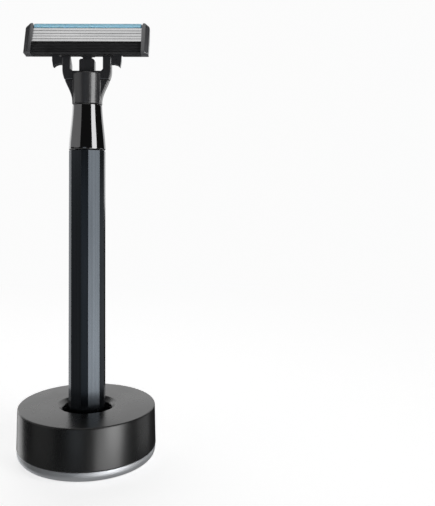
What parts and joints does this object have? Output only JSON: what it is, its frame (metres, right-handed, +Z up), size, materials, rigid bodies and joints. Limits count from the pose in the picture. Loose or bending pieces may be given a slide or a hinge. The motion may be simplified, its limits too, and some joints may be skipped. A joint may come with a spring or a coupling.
{
  "type": "cartridge razor with stand",
  "caption": "Straight-handled cartridge razor standing in a heavy round stand; the cartridge pivots and pulls off, and the razor lifts out of the stand.",
  "frame": {"origin": "middle of the stand's underside, where the handle's axis meets the surface it stands on", "axes": "+Z up along the handle, -Y the side that the blades face, +X to the right seen from there"},
  "size_m": [0.0464, 0.0464, 0.1461],
  "materials": {
    "satin_black": "satin black coating",
    "gunmetal": "anodised dark blue-grey, fine vertical grain",
    "black_chrome": "gloss black plating",
    "satin_silver": "satin silver",
    "steel": "plain steel",
    "blade_steel": "ground blade steel",
    "black_plastic": "satin black moulding",
    "cap_plastic": "satin dark grey moulding",
    "black_rubber": "soft black rubber",
    "blue_strip": "waxy pale blue"
  },
  "bodies": {
    "stand": {"stand_shell": "satin_black", "socket_cup": "black_plastic", "stand_weight": "steel", "stand_magnet": "steel", "foot_ring": "satin_silver", "base_plate": "black_plastic", "base_screw_1": "steel", "base_screw_2": "steel", "base_screw_3": "steel", "base_pad": "black_rubber"},
    "razor": {"grip": "gunmetal", "end_cap": "black_plastic", "end_magnet": "steel", "core_rod": "steel", "grip_insert": "steel", "neck_screw": "steel", "collar": "black_chrome", "neck": "black_plastic", "plunger_spring": "steel"},
    "plunger": {"plunger": "black_plastic"},
    "button": {"release_button": "black_plastic"},
    "clip": {"docking_clip": "black_plastic"},
    "cartridge": {"housing": "black_plastic", "guard_bar": "black_rubber", "lubricating_strip": "blue_strip", "cartridge_cap_left": "cap_plastic", "cartridge_cap_right": "cap_plastic", "blade_1": "blade_steel", "blade_2": "blade_steel", "blade_3": "blade_steel", "blade_4": "blade_steel", "blade_5": "blade_steel", "blade_support_1": "steel", "blade_support_2": "steel", "blade_support_3": "steel", "blade_support_4": "steel", "blade_support_5": "steel"}
  },
  "joints": [
    {"name": "razor_lift", "type": "slide", "parent": "stand", "child": "razor", "axis": [0, 0, 1], "range_m": [0, 0.03]},
    {"name": "cartridge_dock", "type": "slide", "parent": "razor", "child": "clip", "axis": [0, 0, 1], "range_m": [0, 0.012]},
    {"name": "cartridge_pivot", "type": "hinge", "parent": "clip", "child": "cartridge", "pos_m": [0, -0.0009, 0.1355], "axis": [-1, 0, 0], "range_deg": [0, 40], "stiffness_Nm_per_rad": 0.004, "springref_deg": -17.19},
    {"name": "plunger_push", "type": "slide", "parent": "razor", "child": "plunger", "axis": [0, 0, 1], "range_m": [-0.0018, 0], "deforming": ["plunger_spring"]},
    {"name": "button_release", "type": "slide", "parent": "razor", "child": "button", "axis": [0, 0, 1], "range_m": [0, 0.0012], "stiffness_N_per_m": 60, "springref_m": -0.002}
  ],
  "couplings": [
    {"joint": "plunger_push", "follows": "cartridge_pivot", "m_per_rad": -0.0025067}
  ]
}
